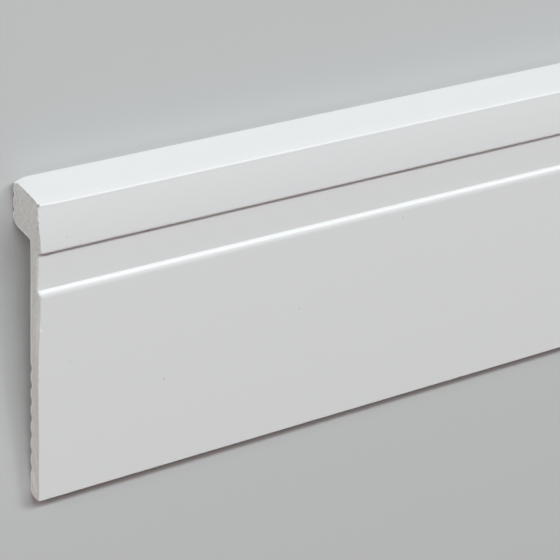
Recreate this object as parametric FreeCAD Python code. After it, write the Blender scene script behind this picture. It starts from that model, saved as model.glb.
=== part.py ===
# Skirting board length, cover type, extruded in foamed polymer.
# One section runs the whole length and is sawn square at both ends.
# The board lies on its back: x runs along it, y from its foot to its head,
# and z up through its front. A section point is a pair of lengths: rise,
# measured up from the foot, and out, measured forward from the wall.
import FreeCAD, Part
import os
from math import asin, atan2, cos, degrees, hypot, radians, sin, tan
from FreeCAD import Vector

# Stock
length = 2000.0
height = 120.0

# Plate: the thin wall behind the tall plain field, open to the wall at its back
recess_depth = 10.95
plate_thickness = 6.0
foot_arris = 0.3
foot_back_radius = 4.0

# Band: the narrow recessed face between the field and the head
band_height = 13.7

# Ogee: a convex arc that leaves the band at an angle and dies into the field
ogee_radius = 4.8
ogee_angle = 42.0

# Head: a leaning front over a rounded lip, and a sloping top that steepens
# to a small arris
head_height = 24.3
head_lean = 6.2
lip_overhang = 2.13
lip_radius = 1.2
top_slope = 19.8
crest_radius = 0.5
brow_slope = 33.0
brow_width = 2.7
brow_sweep = 23.0
brow_radius = 0.9

# Back of the head, and the ledge that bridges the old skirting
head_back_height = 16.4
head_back_radius = 5.0
ledge_slope = 18.0
ledge_fillet = 1.5

# Glue flutes in the back of the plate, counted up from the foot
plate_flutes = 7
plate_flute_first = 11.7
plate_flute_pitch = 6.52
plate_flute_width = 3.8
plate_flute_depth = 0.75

# Glue flutes in the back of the head, counted down from the top
head_flutes = 2
head_flute_first = 5.85
head_flute_pitch = 5.65
head_flute_width = 2.2
head_flute_depth = 0.8

# Shortest edge that an outline keeps between two round corners
least_edge = 0.001

ledge_rise = height - head_back_height


def front_corners():
    """Corners of the front and top, from the foot up to the crest."""
    field_out = recess_depth + plate_thickness
    lip_rise = height - head_height
    ogee_top = lip_rise - band_height
    ogee_reach = ogee_radius * tan(radians(ogee_angle / 2))
    ogee_corner = ogee_top - ogee_reach * cos(radians(ogee_angle))
    band_out = field_out - ogee_reach * sin(radians(ogee_angle))
    lip_out = band_out + lip_overhang

    fall = tan(radians(top_slope))
    drop = tan(radians(brow_slope))
    lean = tan(radians(head_lean))
    crest_rise = height + crest_radius * (fall + hypot(1, fall) - 1)
    front = crest_rise - lip_rise - brow_width * (drop - fall)
    brow_out = (lip_out - lean * front) / (1 - lean * fall)
    brow_start = brow_out - brow_width
    brow_top = crest_rise - brow_start * fall
    return [
        (0, field_out, foot_arris),
        (ogee_corner, field_out, ogee_radius),
        (ogee_top, band_out, 0),
        (lip_rise, band_out, 0),
        (lip_rise, lip_out, lip_radius),
        (brow_top - brow_width * drop, brow_out, brow_radius),
        (brow_top, brow_start, brow_sweep),
        (crest_rise, 0, crest_radius),
    ]


def back_corners():
    """Corners of the back, from the head down under the ledge to the foot."""
    ledge_foot = ledge_rise - recess_depth * tan(radians(ledge_slope))
    return [
        (ledge_rise, 0, head_back_radius),
        (ledge_foot, recess_depth, ledge_fillet),
        (0, recess_depth, foot_back_radius),
    ]


def rounded_face(corners, x):
    """Closed face at x, straight between its corners and tangent round them."""
    points = [Vector(x, rise, out) for rise, out, _ in corners]
    bends = []
    for i, (_, _, radius) in enumerate(corners):
        here = points[i]
        back = (points[i - 1] - here).normalize()
        ahead = (points[(i + 1) % len(points)] - here).normalize()
        half = back.getAngle(ahead) / 2
        reach = radius / tan(half)
        middle = (back + ahead).normalize() * (radius / sin(half) - radius)
        bends.append((here + back * reach, here + middle, here + ahead * reach, radius))
    edges = []
    for i, (start, middle, end, radius) in enumerate(bends):
        before = bends[i - 1][2]
        if (start - before).Length > least_edge:
            edges.append(Part.LineSegment(before, start).toShape())
        if radius > 0:
            edges.append(Part.Arc(start, middle, end).toShape())
    return Part.Face(Part.Wire(edges))


def flute_bars(rises, width, depth, back, x):
    """Round bars that run the length and cut shallow grooves into a back face."""
    radius = (width * width / 4 + depth * depth) / (2 * depth)
    along = Vector(1, 0, 0)
    centres = [Vector(x, rise, back + depth - radius) for rise in rises]
    return [Part.makeCylinder(radius, length, centre, along) for centre in centres]


def rest_tilt():
    """Turn about x that lets the board lie on its two rounded back corners."""
    slope = radians(ledge_slope)
    head_rise = ledge_rise + head_back_radius * (1 / cos(slope) - tan(slope))
    foot_out = recess_depth + foot_back_radius
    run = head_rise - foot_back_radius
    lift = foot_out - head_back_radius
    return atan2(lift, run) + asin((head_back_radius - foot_back_radius) / hypot(run, lift))


def skirting_board():
    start = -length / 2
    section = rounded_face(front_corners() + back_corners(), start)
    board = section.extrude(Vector(length, 0, 0))
    up = [plate_flute_first + i * plate_flute_pitch for i in range(plate_flutes)]
    down = [height - head_flute_first - i * head_flute_pitch for i in range(head_flutes)]
    bars = flute_bars(up, plate_flute_width, plate_flute_depth, recess_depth, start)
    bars += flute_bars(down, head_flute_width, head_flute_depth, 0, start)
    board = board.cut(bars)
    board.rotate(Vector(0, 0, 0), Vector(1, 0, 0), degrees(rest_tilt()))
    box = board.optimalBoundingBox(False, False)
    board.translate(Vector(0, -box.Center.y, -box.ZMin))
    return board.Solids[0]


os.makedirs("parts", exist_ok=True)
board = skirting_board()
board.exportStep("parts/skirting_board.step")
box = board.optimalBoundingBox(False, False)
print("tilt", round(degrees(rest_tilt()), 4), "valid", board.isValid(), "volume", round(board.Volume))
print("box", round(box.XLength, 3), round(box.YLength, 3), round(box.ZLength, 3))
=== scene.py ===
import math

import bpy
import numpy as np
from mathutils import Matrix, Vector
from mathutils.geometry import delaunay_2d_cdt


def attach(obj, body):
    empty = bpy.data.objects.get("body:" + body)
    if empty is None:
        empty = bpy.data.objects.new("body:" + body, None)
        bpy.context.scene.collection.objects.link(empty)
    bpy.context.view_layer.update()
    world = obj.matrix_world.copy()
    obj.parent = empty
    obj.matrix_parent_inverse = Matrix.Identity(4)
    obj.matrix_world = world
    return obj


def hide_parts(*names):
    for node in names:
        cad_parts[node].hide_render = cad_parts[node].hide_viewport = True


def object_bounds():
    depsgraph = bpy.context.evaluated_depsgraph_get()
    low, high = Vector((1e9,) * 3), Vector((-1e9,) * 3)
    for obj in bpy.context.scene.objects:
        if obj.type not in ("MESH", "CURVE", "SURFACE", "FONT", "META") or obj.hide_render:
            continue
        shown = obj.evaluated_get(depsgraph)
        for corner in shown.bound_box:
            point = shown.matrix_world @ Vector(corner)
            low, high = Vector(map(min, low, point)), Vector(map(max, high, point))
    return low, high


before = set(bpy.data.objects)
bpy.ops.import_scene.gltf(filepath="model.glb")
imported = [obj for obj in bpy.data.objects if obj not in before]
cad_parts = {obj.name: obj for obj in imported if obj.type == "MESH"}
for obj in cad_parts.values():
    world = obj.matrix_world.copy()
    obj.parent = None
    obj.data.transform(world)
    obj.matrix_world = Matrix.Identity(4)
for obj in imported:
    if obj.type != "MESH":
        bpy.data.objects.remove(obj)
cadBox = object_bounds()
print("frame loaded, CAD box in metres:", [tuple(round(v, 4) for v in corner) for corner in cadBox])


# Node graphs: sums on sockets become Math nodes

class Term:
    def __init__(self, graph, socket):
        self.graph, self.socket = graph, socket

    def math(self, operation, other=0.0, swapped=False):
        first, second = (other, self) if swapped else (self, other)
        return self.graph.node("ShaderNodeMath", {"operation": operation}, {0: first, 1: second})

    def __add__(self, other): return self.math("ADD", other)
    def __radd__(self, other): return self.math("ADD", other, swapped=True)
    def __sub__(self, other): return self.math("SUBTRACT", other)
    def __rsub__(self, other): return self.math("SUBTRACT", other, swapped=True)
    def __mul__(self, other): return self.math("MULTIPLY", other)
    def __rmul__(self, other): return self.math("MULTIPLY", other, swapped=True)
    def __truediv__(self, other): return self.math("DIVIDE", other)
    def __rtruediv__(self, other): return self.math("DIVIDE", other, swapped=True)
    def __pow__(self, other): return self.math("POWER", other)
    def __neg__(self): return self.math("MULTIPLY", -1.0)
    def __abs__(self): return self.math("ABSOLUTE")
    def __gt__(self, other): return self.math("GREATER_THAN", other)
    def __lt__(self, other): return self.math("LESS_THAN", other)

    def out(self, name):                          # another output of the same node
        return Term(self.graph, self.socket.node.outputs[name])


class Graph:
    def __init__(self, tree):
        self.tree = tree

    def node(self, kind, settings=None, inputs=None, output=0):
        made = self.tree.nodes.new(kind)
        for name, value in (settings or {}).items():
            if name == "stops":                   # a ramp's stops: place and colour
                ramp = made.color_ramp.elements
                while len(ramp) < len(value):
                    ramp.new(1.0)
                for element, (place, colour) in zip(ramp, value):
                    element.position, element.color = place, (*colour, 1.0)
            else:
                setattr(made, name, value)
        for key, value in (inputs or {}).items():
            socket = made.inputs[key]
            if isinstance(value, Term):
                self.tree.links.new(value.socket, socket)
            else:
                socket.default_value = (*value, 1.0) if socket.type == "RGBA" else value
        return Term(self, made.outputs[output]) if len(made.outputs) else made

    def clamp(self, value, low=0.0, high=1.0):
        return self.node("ShaderNodeClamp", {}, {"Value": value, "Min": low, "Max": high})

    def ease(self, value, low, high, start=0.0, end=1.0):          # from start at low to end at high
        inputs = {"Value": value, "From Min": low, "From Max": high, "To Min": start, "To Max": end}
        return self.node("ShaderNodeMapRange", {"interpolation_type": "SMOOTHSTEP"}, inputs)

    def between(self, value, low, lowFull, highFull, high):        # 1 in the middle, 0 beyond low and high
        return self.ease(value, low, lowFull) * self.ease(value, highFull, high, 1.0, 0.0)

    def fade(self, gap, reach, power=1.0, full=1.0):               # 1 at a place, 0 from about its reach on
        left = self.clamp(full - gap / reach)
        return left if power == 1.0 else left ** power

    def noise(self, place, scale, detail, roughness, seed):
        inputs = {"Vector": place, "W": seed, "Scale": scale, "Detail": detail, "Roughness": roughness}
        return self.node("ShaderNodeTexNoise", {"noise_dimensions": "4D"}, inputs)

    def stretch(self, place, factors):
        return self.node("ShaderNodeVectorMath", {"operation": "MULTIPLY"}, {0: place, 1: factors})

    def scaled(self, vector, factor):
        return self.node("ShaderNodeVectorMath", {"operation": "SCALE"}, {0: vector, "Scale": factor})

    def mix(self, share, first, second):                           # two colours
        return self.node("ShaderNodeMix", {"data_type": "RGBA"}, {0: share, 6: first, 7: second}, 2)

    def attribute(self, name):                                     # a mesh's own value, read by a material
        return self.node("ShaderNodeAttribute", {"attribute_name": name}).out("Fac")

    def stored(self, kind, name):                                  # and read by a geometry tree
        return self.node("GeometryNodeInputNamedAttribute", {"data_type": kind}, {"Name": name})


# The board's section, in metres: rise is up from the foot, out is forward from the wall

section = {
    "height": 0.120, "recessDepth": 0.01095, "plate": 0.0060, "footArris": 0.0003, "footBack": 0.004,
    "bandHeight": 0.0137, "ogeeRadius": 0.0048, "ogeeAngle": 42.0,
    "headHeight": 0.0243, "headLean": 6.2, "lipOverhang": 0.00213, "lipRadius": 0.0010,
    "headBow": 0.00022, "lipUndercut": 0.0004,    # the head's front swells, the lip is hollowed at its root
    "topSlope": 19.8, "topFall": 0.36,            # in degrees, and as a fall for each metre of out
    "crestRadius": 0.0005,
    "browSlope": 28.0, "browWidth": 0.0027, "browSweep": 0.023, "browRadius": 0.0014,
    "headBackHeight": 0.0164, "headBackRadius": 0.005, "ledgeSlope": 18.0, "ledgeFillet": 0.0015,
    # glue flutes: how many, the first, the pitch; the width and depth of each
    "plateFlutes": (7, 0.0117, 0.00652), "plateFlute": (0.0038, 0.00075),
    "headFlutes": (2, 0.00585, 0.00565), "headFlute": (0.0022, 0.0008),
    "runStep": 0.00028, "arcStep": 0.00016, "arcParts": 6, "flutePoints": 9,   # how finely it is drawn
    "leastEdge": 1e-7,                            # straight edges shorter than this are left out
}


def flutePoints(rises, size, back):
    width, depth = size
    radius = (width * width / 4 + depth * depth) / (2 * depth)
    half = math.asin(width / 2 / radius)
    points = []
    for rise in rises:
        for turn in np.linspace(half, -half, section["flutePoints"]):
            out = back + depth - radius + radius * math.cos(turn)
            points.append((rise + radius * math.sin(turn), out, 0.0))
    return points


def frontCorners():                               # rise, out and rounding, from the foot up to the crest
    s = section
    fieldOut = s["recessDepth"] + s["plate"]
    lipRise = s["height"] - s["headHeight"]
    ogeeTop = lipRise - s["bandHeight"]
    angle = math.radians(s["ogeeAngle"])
    reach = s["ogeeRadius"] * math.tan(angle / 2)
    bandOut = fieldOut - reach * math.sin(angle)
    lipOut = bandOut + s["lipOverhang"]
    fall, drop, lean = (math.tan(math.radians(s[name])) for name in ("topSlope", "browSlope", "headLean"))
    crestRise = s["height"] + s["crestRadius"] * (fall + math.hypot(1, fall) - 1)
    front = crestRise - lipRise - s["browWidth"] * (drop - fall)
    browOut = (lipOut - lean * front) / (1 - lean * fall)
    browStart = browOut - s["browWidth"]
    browTop = crestRise - browStart * fall
    return [
        (0, fieldOut, s["footArris"]),
        (ogeeTop - reach * math.cos(angle), fieldOut, s["ogeeRadius"]),
        (ogeeTop, bandOut, 0),
        (lipRise + s["lipUndercut"], bandOut, 0),
        (lipRise, lipOut, s["lipRadius"]),
        (browTop - s["browWidth"] * drop, browOut, s["browRadius"]),
        (browTop, browStart, s["browSweep"]),
        (crestRise, 0, s["crestRadius"]),
    ]


def backCorners():                                # from the head's back under the ledge to the foot
    s = section
    ledgeRise = s["height"] - s["headBackHeight"]
    ledgeFoot = ledgeRise - s["recessDepth"] * math.tan(math.radians(s["ledgeSlope"]))
    headCount, headFirst, headPitch = s["headFlutes"]
    headRises = [s["height"] - headFirst - i * headPitch for i in range(headCount)]
    plateCount, plateFirst, platePitch = s["plateFlutes"]
    plateRises = [plateFirst + i * platePitch for i in reversed(range(plateCount))]
    return [
        *flutePoints(headRises, s["headFlute"], 0.0),
        (ledgeRise, 0, s["headBackRadius"]),
        (ledgeFoot, s["recessDepth"], s["ledgeFillet"]),
        *flutePoints(plateRises, s["plateFlute"], s["recessDepth"]),
        (0, s["recessDepth"], s["footBack"]),
    ]


def unit(way):
    return way / np.linalg.norm(way)


def roundedCorner(before, here, after, radius):   # points along the arc that rounds a corner
    if radius == 0:
        return [here]
    back, ahead = unit(before - here), unit(after - here)
    half = math.acos(float(back @ ahead)) / 2
    middle = unit(back + ahead)
    centre = here + middle * radius / math.sin(half)
    start = here + back * radius / math.tan(half) - centre
    across = np.array([-start[1], start[0]])
    turn = math.pi - 2 * half
    side = math.copysign(1.0, middle[0] * start[1] - middle[1] * start[0])
    parts = max(section["arcParts"], math.ceil(turn * radius / section["arcStep"]))
    turns = [side * turn * k / parts for k in range(parts + 1)]
    return [centre + (start * math.cos(a) + across * math.sin(a)) for a in turns]


def sectionOutline():
    corners = frontCorners() + backCorners()
    lip, brow = corners[4:6]                      # below and above the head's front
    places = np.array([corner[:2] for corner in corners])
    bends = [roundedCorner(places[i - 1], places[i], places[(i + 1) % len(places)], corners[i][2])
             for i in range(len(corners))]
    outline = []
    for i, bend in enumerate(bends):
        before, first = bends[i - 1][-1], bend[0]
        gap = np.linalg.norm(first - before)
        steps = max(1, round(gap / section["runStep"]))
        outline += [before + (first - before) * k / steps for k in range(1, steps)]
        outline += bend if gap > section["leastEdge"] else bend[1:]
    outline = np.array(outline)
    rise, out = outline.T
    low, high = lip[0] + lip[2], brow[0] - brow[2]
    share = (rise - low) / (high - low)           # up the head's front, from its lip to its brow
    front = (share > 0) & (share < 1) & (out > section["recessDepth"] + section["plate"] / 2)
    outline[:, 1] += np.where(front, 4 * section["headBow"] * share * (1 - share), 0.0)
    return outline


def restTilt():                                   # the board lies on its head's back corner and its foot
    s = section
    headBack, footBack, slope = s["headBackRadius"], s["footBack"], math.radians(s["ledgeSlope"])
    headRise = s["height"] - s["headBackHeight"] + headBack * (1 / math.cos(slope) - math.tan(slope))
    run = headRise - footBack
    lift = s["recessDepth"] + footBack - headBack
    return math.atan2(lift, run) + math.asin((headBack - footBack) / math.hypot(run, lift))


outline = sectionOutline()
tilt = restTilt()
laid = outline @ np.array([[math.cos(tilt), math.sin(tilt)], [-math.sin(tilt), math.cos(tilt)]])
length = cadBox[1].x - cadBox[0].x
# laying takes a place in the section, at its distance from the near cut, to where it lies on the floor
cornerPlace = Vector((cadBox[0].x, -(laid[:, 0].min() + laid[:, 0].max()) / 2, -laid[:, 1].min()))
laying = Matrix.Translation(cornerPlace) @ Matrix.Rotation(tilt, 4, "X")
print("section drawn:", len(outline), "points, tilt", round(math.degrees(tilt), 3),
      "laid width and height", np.round(np.ptp(laid, axis=0), 5))


# Camera: the view of the board as it would stand against a wall, laid down with it

cameraView = {
    "lens": 186.4, "sensor": 36.0, "imageSize": 560, "clip": (0.05, 100.0),
    "azimuth": -40.4, "elevation": 19.82, "roll": 1.78,
    "footPixel": (39.75, 501.7), "footDepth": 1.0645,      # the near lower front corner, how far off it is
}


def makeCamera():
    v = cameraView
    data = bpy.data.cameras.new("camera")
    data.lens, data.sensor_width = v["lens"], v["sensor"]
    data.clip_start, data.clip_end = v["clip"]
    camera = bpy.data.objects.new("camera", data)
    bpy.context.collection.objects.link(camera)
    upright = (Matrix.Rotation(math.radians(v["azimuth"]), 4, "Z")
               @ Matrix.Rotation(math.radians(90 - v["elevation"]), 4, "X")
               @ Matrix.Rotation(math.radians(v["roll"]), 4, "Z"))
    turned = Matrix.Rotation(tilt - math.pi / 2, 4, "X") @ upright
    focal = v["lens"] / v["sensor"] * v["imageSize"]
    across, down = ((pixel - v["imageSize"] / 2) / focal for pixel in v["footPixel"])
    toFoot = turned.to_3x3() @ Vector((across, -down, -1.0)) * v["footDepth"]
    foot = laying @ Vector((0.0, 0.0, section["recessDepth"] + section["plate"]))
    camera.matrix_world = Matrix.Translation(foot - toFoot) @ turned
    bpy.context.scene.camera = camera
    print("camera at", [round(c, 3) for c in camera.location])


makeCamera()


# Finishes

def topRise(rise, out):                           # the same all over the sloping top: the height at its back
    return rise + section["topFall"] * out


def belowTop(gaps):                               # the rises that lie so far below the top
    return [section["height"] - gap for gap in gaps]


def material(name):
    made = bpy.data.materials.new(name)
    made.use_nodes = True
    made.node_tree.nodes.clear()
    return made, Graph(made.node_tree)


def surface(graph, colour, rough, height, ior):
    bump = graph.node("ShaderNodeBump", {}, {"Strength": 1.0, "Distance": 1.0, "Height": height})
    shader = graph.node("ShaderNodeBsdfPrincipled", {}, {
        "Base Color": colour, "Roughness": rough, "IOR": ior, "Normal": bump})
    graph.node("ShaderNodeOutputMaterial", {}, {"Surface": shader})


skin = {
    "colour": (0.855, 0.855, 0.848), "roughness": 0.31, "ior": 1.53,
    "streakStretch": (7.0, 1500.0, 1500.0),                # streaks are drawn out along the board
    # noises: scale, detail, roughness, seed
    "streaks": (1.0, 3.0, 0.5, 0.0), "cloud": (25.0, 2.0, 0.5, 3.0), "peel": (900.0, 2.0, 0.5, 5.0),
    # the crumb tint is painted shade in the pits where crumbs and chips broke out of the edges
    "tint": 0.006, "crumbShadeTint": 0.8,                       # of streaks and clouds, and of broken edges
    "streakGloss": 0.12, "cloudGloss": 0.06, "roughRange": (0.2, 0.6),
    "streakDepth": 0.000004, "peelDepth": 0.000003, "markDepth": 0.00012,
    "dentWidth": 1.2, "markCore": 0.3,                     # of a mark's radius: its dent, its dark middle
    # small marks that the photo shows in the front: x from the near cut, rise, out, radius and how dark
    # the dark middles are partly real marks and partly painted shade in the dents; marks with a negative
    # value are painted highlights on burrs at the arris and the ogee's nose
    "marks": [
        (0.0113, 0.1003, 0.01735, 0.0007, 0.05), (0.0132, 0.0520, 0.01695, 0.0005, 0.10),
        (0.0567, 0.0352, 0.01695, 0.0006, 0.26), (0.1224, 0.0491, 0.01695, 0.0006, 0.17),
        (0.1751, 0.0761, 0.01695, 0.0005, 0.18), (0.0006, 0.0672, 0.01695, 0.0008, -0.15),
        (0.0016, 0.0673, 0.01695, 0.0004, 0.12), (0.0004, 0.0797, 0.01690, 0.0006, -0.10),
        (0.0005, 0.0786, 0.01710, 0.0005, -0.10), (0.0006, 0.0776, 0.01720, 0.0004, -0.08),
    ],
}


def skinMaterial():
    made, graph = material("white_skin")
    place = graph.node("ShaderNodeTexCoord").out("Object")
    streaks = graph.noise(graph.stretch(place, skin["streakStretch"]), *skin["streaks"])
    cloud = graph.noise(place, *skin["cloud"])
    peel = graph.noise(place, *skin["peel"])
    dents, dark = 0.0, 0.0
    for x, rise, out, radius, tint in skin["marks"]:
        gap = graph.node("ShaderNodeVectorMath", {"operation": "DISTANCE"},
                         {0: place, 1: laying @ Vector((x, rise, out))}, "Value")
        dents = dents + graph.ease(gap, 0.0, radius * skin["dentWidth"], 1.0, 0.0)
        # dark middles: partly real marks, partly painted shade in the dents; a negative value paints a
        # highlight on a burr
        dark = dark + graph.ease(gap, radius * skin["markCore"], radius, tint, 0.0)
    light = 1 - skin["tint"] * (streaks - 0.5) - skin["tint"] * (cloud - 0.5) - dark
    # painted shade in the pits where crumbs and chips broke out
    light = light - skin["crumbShadeTint"] * graph.clamp(graph.attribute("crumb"))
    colour = graph.scaled(skin["colour"], light)
    rough = skin["roughness"] + skin["streakGloss"] * (streaks - 0.5) + skin["cloudGloss"] * (cloud - 0.5)
    height = skin["streakDepth"] * streaks + skin["peelDepth"] * peel - skin["markDepth"] * dents
    surface(graph, colour, graph.clamp(rough, *skin["roughRange"]), height, skin["ior"])
    return made


# pairs along rise or out say where a change begins and ends, four numbers where something comes and goes
sawn = {
    # the core's lower colour is painted warm light bounced up from the floor: lighter and warmer towards the
    # foot
    "core": (0.746, 0.746, 0.722), "coreFloorLit": (0.806, 0.767, 0.727), "floorLitRise": (0.045, 0.085),
    "roughness": 0.85, "ior": 1.46, "cellGloss": 0.15, "rimGloss": 0.2, "roughRange": (0.4, 1.0),
    # noises: scale, detail, roughness, seed
    "cells": (1500.0, 3.0, 0.7, 0.0), "patches": (560.0, 2.0, 0.5, 2.0), "pores": (1300.0, 1.0, 0.5, 9.0),
    "strokes": (1.0, 3.0, 0.6, 7.0), "poreShare": (0.66, 0.74),
    "strokeStretch": (1.0, 70.0, 1000.0),                  # the saw's strokes are drawn out down the section
    # the crumb tint is painted shade in the pits of crumbs and chips
    "cellTint": 0.42, "patchTint": 0.38, "strokeTint": 0.28, "poreTint": 0.35, "crumbShadeTint": 0.80,
    "cellDepth": 0.00009, "strokeDepth": 0.00006,
    "tornRise": (0.080, 0.100), "leastTorn": 0.55,         # the head tore more than the plate
    "strokeRise": (0.088, 0.102), "leastStroke": 0.35,     # and shows the saw's strokes less
    # a lighter rim, which all but ends towards the front and under the sloping top
    "rimColour": (0.88, 0.88, 0.87), "rimEdge": (0.0004, 0.0012), "rimWander": 0.0005,
    "rimFront": (0.0125, 0.0140), "leastRim": 0.15, "rimTop": (0.0018, 0.0008), "rimTopOut": (0.0015, 0.0030),
    # a paler stretch behind the field's upper part, the ogee and the band
    "frontTint": 0.10, "frontOut": (0.0135, 0.0155), "frontRise": (0.052, 0.062, 0.094, 0.098),
    # single light strokes left by the saw: rise and out at both ends, half width, how light
    "lightStrokes": [
        (0.0265, 0.0112, 0.0118, 0.0160, 0.0006, 0.12),
        (0.0330, 0.0113, 0.0210, 0.0150, 0.0005, 0.08),
        (0.0110, 0.0120, 0.0020, 0.0150, 0.0014, 0.15),
    ],
    "lightCore": 0.4, "lightEnds": (0.0, 0.15, 0.8, 1.0),
}


def sawnMaterial():
    made, graph = material("sawn_foam")
    place = graph.node("ShaderNodeTexCoord").out("Object")

    def along(axis):                              # a section coordinate: how far the place is along an axis
        way = laying.to_3x3() @ Vector(axis)
        gone = graph.node("ShaderNodeVectorMath", {"operation": "DOT_PRODUCT"}, {0: place, 1: way}, "Value")
        return gone - cornerPlace.dot(way)

    rise, out = along((0, 1, 0)), along((0, 0, 1))
    spot = graph.node("ShaderNodeCombineXYZ", {}, {"X": along((1, 0, 0)), "Y": rise, "Z": out})
    cells = graph.noise(spot, *sawn["cells"])
    patches = graph.noise(spot, *sawn["patches"])
    pores = graph.ease(graph.noise(spot, *sawn["pores"]), *sawn["poreShare"])
    strokes = graph.noise(graph.stretch(spot, sawn["strokeStretch"]), *sawn["strokes"])

    edge = graph.attribute("rim") + sawn["rimWander"] * (patches - 0.5)
    atRim = graph.ease(edge, *sawn["rimEdge"], 1.0, 0.0)
    underTop = graph.ease(topRise(rise, out), *belowTop(sawn["rimTop"]))
    underTop = underTop * graph.ease(out, *sawn["rimTopOut"])
    atRim = atRim * graph.ease(out, *sawn["rimFront"], 1.0, sawn["leastRim"]) * (1 - underTop)
    atFront = graph.ease(out, *sawn["frontOut"]) * graph.between(rise, *sawn["frontRise"])
    torn = graph.ease(rise, *sawn["tornRise"], sawn["leastTorn"], 1.0)
    stroked = graph.ease(rise, *sawn["strokeRise"], 1.0, sawn["leastStroke"])

    # the last term paints shade into the pits of crumbs and chips
    light = (1 + torn * (sawn["cellTint"] * (cells - 0.5) + sawn["patchTint"] * (patches - 0.5))
             + sawn["strokeTint"] * stroked * (strokes - 0.5) + sawn["frontTint"] * atFront
             - sawn["poreTint"] * pores - sawn["crumbShadeTint"] * graph.clamp(graph.attribute("crumb")))
    for rise1, out1, rise2, out2, half, lighter in sawn["lightStrokes"]:
        share = (rise - rise1) / (rise2 - rise1)
        off = out - out1 - share * (out2 - out1)
        band = graph.ease(abs(off), half * sawn["lightCore"], half, lighter, 0.0)
        light = light + band * graph.between(share, *sawn["lightEnds"])
    # painted warm floor light: the core lighter and warmer towards the foot
    core = graph.mix(graph.ease(rise, *sawn["floorLitRise"], 1.0, 0.0), sawn["core"], sawn["coreFloorLit"])
    colour = graph.scaled(graph.mix(atRim, core, sawn["rimColour"]), light)
    rough = sawn["roughness"] + sawn["cellGloss"] * (cells - 0.5) - sawn["rimGloss"] * atRim
    height = sawn["cellDepth"] * cells + sawn["strokeDepth"] * strokes
    surface(graph, colour, graph.clamp(rough, *sawn["roughRange"]), height, sawn["ior"])
    return made


# The board: its section drawn out in ever longer steps from each end, then worn at the cuts

board = {
    "inputs": {                                            # of the node tree, each with its own socket
        "Stations": 40, "Crowding": 9.6,                   # steps along the board, how they crowd to its ends
        "Arris Depth": 0.00010, "Arris Reach": 0.00035,    # rounding of every sawn edge
        "Top Wear": 0.00002, "Top Reach": 0.0006,          # the edge of the sloping top, worn this much more
        "Crest Wear": 0.0010, "Crest Reach": 0.0052,       # the top back corner at the near cut
        "Top Swell": 0.00042, "Swell Reach": 0.009,        # the top stands up a little towards the near cut
        "Crumb Depth": 0.00070, "Crumb Size": 0.00045,     # crumbs broken out of the sawn edges
        "Saw Wander": 0.00016, "Saw Reach": 0.003,         # how unevenly the cuts run, and how deep that goes
        "Seed": 4.0,
    },
    # the section's face: rings just inside its outline, then a shaken grid
    "ringSteps": (0.00018, 0.00045), "ringKeep": 0.8, "gridStep": 0.0010, "rowPitch": 0.87, "gridShake": 0.15,
    "gridSeed": 4, "gridMargin": 0.0008, "onOutline": 1e-6, "faceMerge": 1e-8,
    "endways": 0.5,                                        # a face turned to x by more than this is a cut
    "merge": 1e-7, "atCut": 2e-5, "sharpAngle": 24.0,
    # noises: scale, detail, roughness; and what is added to the tree's seed
    "unevenness": (450.0, 2.0, 0.5),
    "crumbs": (1.0, 1.0, 0.5), "crumbSeed": 3,
    "waves": (1.0, 2.0, 0.5), "waveSeed": 6,
    "waveStretch": (0.0, 55.0, 20.0),
    # where the wear goes: pairs along rise or out, or below the top, say where it starts and is full
    "unevenLeast": 0.35, "unevenMore": 1.3, "arrisPower": 2.0,
    "topBelow": (0.0016, 0.0006), "swellOut": (0.0, 0.009), "swellPower": 1.5,
    "crestOut": (0.0040, 0.0005), "crestBelow": (0.0045, 0.001), "crestPower": 1.3, "crestForward": 0.5,
    # crumbs: most at the head's front, some along the top, few elsewhere
    "crumbRise": (0.1030, 0.1060, 0.1140, 0.1150), "crumbOut": (0.013, 0.0145), "crumbShare": (0.50, 0.60),
    "crumbLeast": 0.08, "crumbMore": 0.92, "crumbTop": 0.10,
    "crumbSideReach": 0.0006, "crumbCutReach": 0.0007,
    # where and how strongly shade is painted into the crumbs and the chips
    "crumbShadeTop": 0.5, "crumbShadeReach": 0.0009, "crumbShadeFull": 1.2,
    "chipPower": 1.5, "chipReach": 0.0009, "chipShadeReach": 0.0008, "chipShadeFull": 1.4,
    "lineOut": (0.0135, 0.0168), "lineMost": 0.001,
    # the near cut's front edge: rise, and how far the edge stands into the board there, under lineMost
    "cutLine": [
        (0.0000, -0.00020), (0.0150, -0.00028), (0.0270, -0.00030), (0.0360, -0.00052), (0.0500, -0.00060),
        (0.0600, -0.00030), (0.0675, 0.00004), (0.0720, 0.00026), (0.0765, 0.00036), (0.0778, 0.00026),
        (0.0804, -0.00012), (0.0822, -0.00040), (0.0850, -0.00005), (0.0890, 0.00034), (0.0945, 0.00030),
        (0.0975, -0.00008), (0.1020, -0.00010), (0.1045, -0.00040), (0.1085, -0.00065), (0.1125, -0.00040),
        (0.1160, -0.00005), (0.1250, 0.0),
    ],
    # chips in the near cut: rise, out, radius, how far they go along the board and into it, how much shade
    # is painted into them; a burr stands out
    "chips": [
        (0.1138, 0.0158, 0.0010, 0.0006, 0.00040, 1.2), (0.0964, 0.0177, 0.0008, 0.0004, 0.00020, 0.0),
        (0.0802, 0.0169, 0.0024, -0.0002, -0.00070, 0.0), (0.0680, 0.0169, 0.0006, 0.0004, 0.00025, 0.0),
        (0.0703, 0.0161, 0.0006, 0.0003, 0.00000, 0.6), (0.0480, 0.0168, 0.0009, 0.0003, 0.00012, 0.2),
    ],
}


def gridPoints(around):                           # a shaken grid of points, none near those around it
    low, high = outline.min(axis=0), outline.max(axis=0)
    step, shake = board["gridStep"], board["gridShake"]
    rng = np.random.default_rng(board["gridSeed"])
    points = []
    for row, out in enumerate(np.arange(low[1], high[1], step * board["rowPitch"])):
        for rise in np.arange(low[0] + (row % 2) * step / 2, high[0], step):
            spot = np.array([rise, out]) + rng.uniform(-shake, shake, 2) * step
            if np.min(np.hypot(*(around - spot).T)) > board["gridMargin"]:
                points.append(tuple(spot))
    return points


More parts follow.
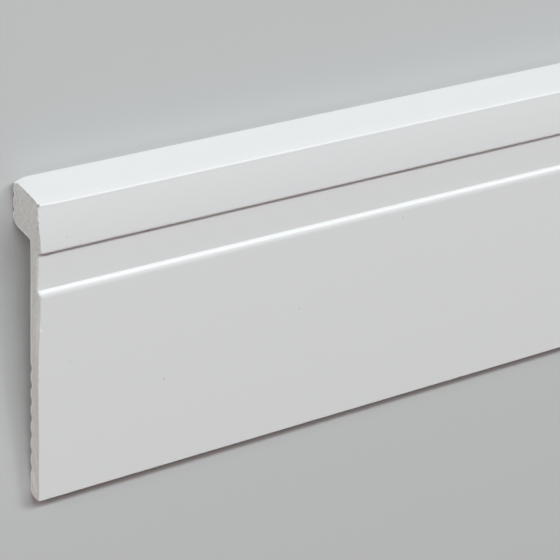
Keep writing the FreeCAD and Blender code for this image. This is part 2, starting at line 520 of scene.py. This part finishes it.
def sectionFace():
    span = np.roll(outline, -1, axis=0) - outline
    ahead = np.roll(outline, -1, axis=0) - np.roll(outline, 1, axis=0)
    outward = np.stack([-ahead[:, 1], ahead[:, 0]], axis=1)
    outward /= np.linalg.norm(outward, axis=1)[:, None]

    def rimGap(spot):                             # to the nearest edge of the outline
        share = np.clip(((spot - outline) * span).sum(1) / (span * span).sum(1), 0, 1)
        return np.hypot(*(outline + span * share[:, None] - spot).T).min()

    rings = [tuple(p) for ring in board["ringSteps"] for p in outline - outward * ring
             if rimGap(p) > ring * board["ringKeep"]]
    grid = gridPoints(np.vstack([outline, outline + span / 2]))
    points = [Vector(p) for p in [tuple(p) for p in outline] + rings + grid]
    insideOnly = 1
    verts, _, faces, _, _, _ = delaunay_2d_cdt(
        points, [], [list(range(len(outline)))], insideOnly, board["faceMerge"])
    used = sorted({corner for face in faces for corner in face})       # no grid points beyond the outline
    order = {old: new for new, old in enumerate(used)}
    flat = np.array([tuple(verts[old]) for old in used])
    rim = [rimGap(spot) for spot in flat]
    away = np.zeros((len(flat), 3))
    for i, spot in enumerate(flat):
        if rim[i] < board["onOutline"]:
            away[i, 1:] = outward[int(np.argmin(np.hypot(*(outline - spot).T)))]
    mesh = bpy.data.meshes.new("skirtingBoard")
    corners = [(0.0, rise, out) for rise, out in flat]
    mesh.from_pydata(corners, [], [[order[old] for old in face] for face in faces])
    mesh.attributes.new("rim", "FLOAT", "POINT").data.foreach_set("value", rim)
    mesh.attributes.new("outward", "FLOAT_VECTOR", "POINT").data.foreach_set("vector", away.ravel())
    print("section face:", len(flat), "points,", len(faces), "triangles")
    return mesh


def endwaysNormal(graph):
    return graph.node("ShaderNodeSeparateXYZ", {}, {0: graph.node("GeometryNodeInputNormal")})


def drawnOut(graph, given):                       # the section drawn along the board, closed by the near cut
    tree, boardLength = graph.tree, given.out("Length")
    stations, crowding = given.out("Stations"), given.out("Crowding")
    repeatIn = tree.nodes.new("GeometryNodeRepeatInput")
    repeatOut = tree.nodes.new("GeometryNodeRepeatOutput")
    repeatIn.pair_with_output(repeatOut)
    tree.links.new(stations.socket, repeatIn.inputs["Iterations"])
    tree.links.new(given.out("Section").socket, repeatIn.inputs["Geometry"])
    index = Term(graph, repeatIn.outputs["Iteration"])

    def station(i):                               # stations crowd towards both ends, where the cuts are worn
        share = 2 * i / stations - 1              # from -1 at the near cut to 1 at the far one
        inwards = (((1 - abs(share)) * crowding).math("EXPONENT") - 1) / (crowding.math("EXPONENT") - 1)
        return boardLength / 2 * (1 + share.math("SIGN") * (1 - inwards))

    drawn = graph.node("GeometryNodeExtrudeMesh", {"mode": "FACES"}, {
        "Mesh": Term(graph, repeatIn.outputs["Geometry"]),
        "Selection": endwaysNormal(graph) > board["endways"],
        "Offset": graph.node("ShaderNodeCombineXYZ", {}, {"X": 1.0}),
        "Offset Scale": station(index + 1) - station(index), "Individual": False})
    tree.links.new(drawn.socket, repeatOut.inputs["Geometry"])
    nearCut = graph.node("GeometryNodeFlipFaces", {}, {"Mesh": given.out("Section")})
    joined = graph.node("GeometryNodeJoinGeometry", {}, {0: Term(graph, repeatOut.outputs["Geometry"])})
    tree.links.new(nearCut.socket, joined.socket.node.inputs[0])
    return graph.node("GeometryNodeMergeByDistance", {}, {"Geometry": joined, "Distance": board["merge"]})


class CutPlace:                                   # where a point of the drawn board is, before it is worn
    def __init__(self, graph, size):
        self.position = graph.node("GeometryNodeInputPosition")
        self.x = graph.node("ShaderNodeSeparateXYZ", {}, {0: self.position})
        self.rise, self.out = self.x.out("Y"), self.x.out("Z")
        self.fromEnd = self.x.math("MINIMUM", size("Length") - self.x)
        self.atCut = self.fromEnd < board["atCut"]
        self.nearEnd = self.x < size("Length") / 2
        self.rim = graph.stored("FLOAT", "rim")
        self.onTop = graph.ease(topRise(self.rise, self.out), *belowTop(board["topBelow"]))


def arrisWear(graph, size, at):                   # how far the side and the cut go back beside a sawn edge
    unevenness = graph.noise(at.position, *board["unevenness"], size("Seed"))
    uneven = board["unevenLeast"] + board["unevenMore"] * unevenness
    depth, topDepth = size("Arris Depth") * uneven, at.onTop * size("Top Wear") * uneven

    def worn(gap):
        return (depth * graph.fade(gap, size("Arris Reach"), board["arrisPower"])
                + topDepth * graph.fade(gap, size("Top Reach"), board["arrisPower"]))

    return worn(at.fromEnd), worn(at.rim)


# crumbs are darkened with painted shade in their pits
def crumbWear(graph, size, at):                   # the same for crumbs, and how dark they are
    place = graph.scaled(at.position, 1 / size("Crumb Size"))
    grain = graph.noise(place, *board["crumbs"], size("Seed") + board["crumbSeed"])
    crumbs = graph.ease(grain, *board["crumbShare"])
    onFront = graph.between(at.rise, *board["crumbRise"]) * graph.ease(at.out, *board["crumbOut"])
    many = onFront + board["crumbTop"] * at.onTop
    ragged = crumbs * (board["crumbLeast"] + board["crumbMore"] * many * at.nearEnd) * size("Crumb Depth")
    # painted shade in the crumbs' pits, most at the head's front and along the top
    pitShade = crumbs * (onFront + board["crumbShadeTop"] * at.onTop) * at.nearEnd
    pitShade = pitShade * graph.fade(at.rim, board["crumbShadeReach"], full=board["crumbShadeFull"]) * at.atCut
    side = ragged * graph.fade(at.fromEnd, board["crumbSideReach"])
    return side, ragged * graph.fade(at.rim, board["crumbCutReach"]), pitShade


def chipWear(graph, at):                          # and for the chips and the burr
    side, cut, pitShade = 0.0, 0.0, 0.0
    for rise, out, radius, along, into, dark in board["chips"]:
        up, forward = at.rise - rise, at.out - out
        gap = (up * up + forward * forward).math("SQRT")
        dip = graph.fade(gap, radius, board["chipPower"]) * at.nearEnd
        side = side + into * dip * graph.fade(at.fromEnd, board["chipReach"])
        cut = cut + along * dip
        # painted shade in the chip's pit
        pitShade = pitShade + dark * dip * graph.fade(at.fromEnd, board["chipShadeReach"], full=board["chipShadeFull"])
    return side, cut, pitShade


def sawLine(graph, size, at):                     # how far into the board the cut runs
    place = graph.stretch(at.position, board["waveStretch"])
    waves = graph.noise(place, *board["waves"], size("Seed") + board["waveSeed"])
    most, span = board["lineMost"], board["cutLine"][-1][0]
    stops = [(rise / span, (0.5 + shift / most / 2,) * 3) for rise, shift in board["cutLine"]]
    line = graph.node("ShaderNodeValToRGB", {"stops": stops}, {0: at.rise / span})
    frontShift = (line - 0.5) * (2 * most) * graph.ease(at.out, *board["lineOut"]) * at.nearEnd
    wander = size("Saw Wander") * (waves - 0.5) + frontShift
    return wander * graph.fade(at.fromEnd, size("Saw Reach"))


def topShape(graph, size, at):                    # up and forward: the top's swell, and its worn back corner
    swell = size("Top Swell") * at.onTop * graph.ease(at.out, *board["swellOut"]) * at.nearEnd
    swell = swell * graph.fade(at.fromEnd, size("Swell Reach"), board["swellPower"])
    crestEnd, crestFull = board["crestOut"]
    crest = graph.ease(at.out, crestFull, crestEnd, 1.0, 0.0)
    crest = crest * graph.ease(at.rise, *belowTop(board["crestBelow"]))
    crestFade = graph.fade(at.fromEnd, size("Crest Reach"), board["crestPower"])
    crest = size("Crest Wear") * (crest * at.nearEnd) * crestFade
    return swell - crest, crest * board["crestForward"]


# Points of the side move in towards the stock, points of a cut along it. Gives how far each point moves,
# and how much shade is painted into the pits of its crumbs and chips
def cutWear(graph, size):
    at = CutPlace(graph, size)
    arrisSide, arrisCut = arrisWear(graph, size, at)
    crumbSide, crumbCut, crumbShade = crumbWear(graph, size, at)
    chipSide, chipCut, chipShade = chipWear(graph, at)
    up, forward = topShape(graph, size, at)
    inwards = 1 - 2 * (at.x > size("Length") / 2)          # 1 at the near cut, -1 at the far one
    along = ((arrisCut + crumbCut + chipCut) * at.atCut + sawLine(graph, size, at)) * inwards
    slide = graph.node("ShaderNodeCombineXYZ", {}, {"X": along, "Y": up, "Z": forward})
    shrink = graph.scaled(graph.stored("FLOAT_VECTOR", "outward"), -(arrisSide + crumbSide + chipSide))
    move = graph.node("ShaderNodeVectorMath", {"operation": "ADD"}, {0: shrink, 1: slide})
    return move, crumbShade + chipShade


def drawnBoardTree():
    tree = bpy.data.node_groups.new("drawnBoard", "GeometryNodeTree")
    kinds = {"Section": "NodeSocketGeometry", "Stations": "NodeSocketInt", "Corner": "NodeSocketVector",
             "Skin": "NodeSocketMaterial", "Sawn": "NodeSocketMaterial"}
    for name in ("Section", "Length", "Tilt", "Corner", *board["inputs"], "Skin", "Sawn"):
        tree.interface.new_socket(name, in_out="INPUT", socket_type=kinds.get(name, "NodeSocketFloat"))
    tree.interface.new_socket("Board", in_out="OUTPUT", socket_type="NodeSocketGeometry")
    graph = Graph(tree)
    given = graph.node("NodeGroupInput")
    closed = drawnOut(graph, given)
    marked = graph.node("GeometryNodeStoreNamedAttribute", {"data_type": "BOOLEAN", "domain": "FACE"}, {
        "Geometry": closed, "Name": "sawn", "Value": abs(endwaysNormal(graph)) > board["endways"]})
    move, pitShade = cutWear(graph, given.out)
    # the shade painted into crumbs and chips is stored for the materials to read
    crumbed = graph.node("GeometryNodeStoreNamedAttribute", {"data_type": "FLOAT", "domain": "POINT"}, {
        "Geometry": marked, "Name": "crumb", "Value": pitShade})
    worn = graph.node("GeometryNodeSetPosition", {}, {"Geometry": crumbed, "Offset": move})
    lying = graph.node("ShaderNodeCombineXYZ", {}, {"X": given.out("Tilt")})
    placed = graph.node("GeometryNodeTransform", {}, {
        "Geometry": worn, "Translation": given.out("Corner"), "Rotation": lying})
    real = graph.node("GeometryNodeRealizeInstances", {}, {"Geometry": placed})
    skinned = graph.node("GeometryNodeSetMaterial", {}, {"Geometry": real, "Material": given.out("Skin")})
    finished = graph.node("GeometryNodeSetMaterial", {}, {
        "Geometry": skinned, "Selection": graph.stored("BOOLEAN", "sawn"), "Material": given.out("Sawn")})
    graph.node("NodeGroupOutput", {}, {"Board": finished})
    return tree


def makeReal(piece, modifier):                    # the modifier's result becomes the piece's own mesh
    layers = bpy.context.evaluated_depsgraph_get()
    result = piece.evaluated_get(layers)
    mesh = bpy.data.meshes.new_from_object(result, preserve_all_data_layers=True, depsgraph=layers)
    piece.modifiers.remove(modifier)
    piece.data = mesh


def makeBoard():
    piece = bpy.data.objects.new("skirtingBoard", sectionFace())
    bpy.context.collection.objects.link(piece)
    modifier = piece.modifiers.new("drawn", "NODES")
    modifier.node_group = drawnBoardTree()
    values = {**board["inputs"], "Length": length, "Tilt": tilt, "Corner": cornerPlace,
              "Skin": skinMaterial(), "Sawn": sawnMaterial()}
    for item in modifier.node_group.interface.items_tree:
        if item.name in values:
            modifier[item.identifier] = values[item.name]
    makeReal(piece, modifier)
    for spare in reversed([i for i, made in enumerate(piece.data.materials) if made is None]):
        piece.data.materials.pop(index=spare)
    piece.data.shade_smooth()
    piece.data.set_sharp_from_angle(angle=math.radians(board["sharpAngle"]))
    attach(piece, "root")
    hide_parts("skirting_board")
    piece.data.calc_loop_triangles()
    print("board made:", len(piece.data.vertices), "vertices,", len(piece.data.loop_triangles),
          "triangles, materials", [made.name for made in piece.data.materials])


makeBoard()


# Floor, light and backdrop

studio = {
    "floorSize": 60.0, "floorColour": (0.60, 0.60, 0.595), "floorRoughness": 0.8,
    "world": (1.0, 0.955, 0.955), "worldStrength": 0.036,
    "backdrop": (0.50, 0.50, 0.50), "fade": (0.2, 1.2),    # the floor goes over to its tone, metres off
    # each lamp: angle from the front's normal towards the head, where it stands along x, how far off,
    # length along x and depth, power in watts, colour
    "lamps": {
        "key": (44.0, -0.9, 4.0, 5.0, 0.5, 111.0, (0.88, 0.962, 1.0)),
        "fill": (-55.0, -0.8, 4.0, 5.0, 1.2, 14.5, (1.0, 0.46, 0.40)),
        "side": (50.0, -3.33, 2.08, 1.28, 1.28, 31.3, (1.0, 0.952, 0.924)),
        "gleam": (32.0, 1.6, 3.1, 1.8, 0.8, 40.0, (1.0, 1.0, 1.0)),
    },
    "aim": (-0.85, 0.0, 0.0), "endways": 0.8,              # a lamp turned to x by more than this lies across
}


def seenRay(graph):                               # 1 for rays from the camera, and by way of gloss and glass
    lightPath = graph.node("ShaderNodeLightPath", {}, {}, "Is Camera Ray")
    return graph.clamp(lightPath + lightPath.out("Is Glossy Ray") + lightPath.out("Is Transmission Ray"))


def makeFloor():
    half = studio["floorSize"] / 2
    corners = [(-half, -half, 0), (half, -half, 0), (half, half, 0), (-half, half, 0)]
    mesh = bpy.data.meshes.new("floor")
    mesh.from_pydata(corners, [], [(0, 1, 2, 3)])
    floor = bpy.data.objects.new("floor", mesh)
    bpy.context.collection.objects.link(floor)
    made, graph = material("pale_floor")
    shader = graph.node("ShaderNodeBsdfPrincipled", {}, {
        "Base Color": studio["floorColour"], "Roughness": studio["floorRoughness"]})
    place = graph.node("ShaderNodeSeparateXYZ", {}, {0: graph.node("ShaderNodeTexCoord").out("Object")})
    across, past = place.out("Y"), (abs(place) - length / 2).math("MAXIMUM", 0.0)
    gap = (across * across + past * past).math("SQRT")                # how far off the board
    pale = graph.node("ShaderNodeEmission", {}, {"Color": studio["backdrop"], "Strength": 1.0})
    share = graph.ease(gap, *studio["fade"]) * seenRay(graph)
    both = graph.node("ShaderNodeMixShader", {}, {0: share, 1: shader, 2: pale})
    graph.node("ShaderNodeOutputMaterial", {}, {"Surface": both})
    mesh.materials.append(made)


def makeWorld():
    world = bpy.data.worlds.new("studio")
    bpy.context.scene.world = world
    world.use_nodes = True
    world.node_tree.nodes.clear()
    graph = Graph(world.node_tree)
    plain = graph.node("ShaderNodeBackground", {}, {
        "Color": studio["world"], "Strength": studio["worldStrength"]})
    pale = graph.node("ShaderNodeBackground", {}, {"Color": studio["backdrop"], "Strength": 1.0})
    both = graph.node("ShaderNodeMixShader", {}, {0: seenRay(graph), 1: plain, 2: pale})
    graph.node("ShaderNodeOutputWorld", {}, {"Surface": both})


def makeLamp(name, angle, along, distance, long, deep, power, colour):
    turn = math.radians(angle) - tilt             # from the vertical, towards the head
    spot = Vector((along, math.sin(turn) * distance, math.cos(turn) * distance))
    data = bpy.data.lights.new(name, "AREA")
    data.shape, data.size, data.size_y, data.energy, data.color = "RECTANGLE", long, deep, power, colour
    facing = (spot - Vector(studio["aim"])).normalized()
    level = Vector((0, 0, 1)).cross(facing) if abs(facing.x) > studio["endways"] else Vector((1, 0, 0))
    level = (level - facing * level.dot(facing)).normalized()
    made = bpy.data.objects.new(name, data)
    turned = Matrix((level, facing.cross(level), facing)).transposed().to_4x4()
    made.matrix_world = Matrix.Translation(spot) @ turned
    bpy.context.collection.objects.link(made)


makeFloor()
makeWorld()
for name, lamp in studio["lamps"].items():
    makeLamp(name, *lamp)
print("studio set up with", len(studio["lamps"]), "lamps")

bpy.context.scene.view_settings.view_transform = "Standard"
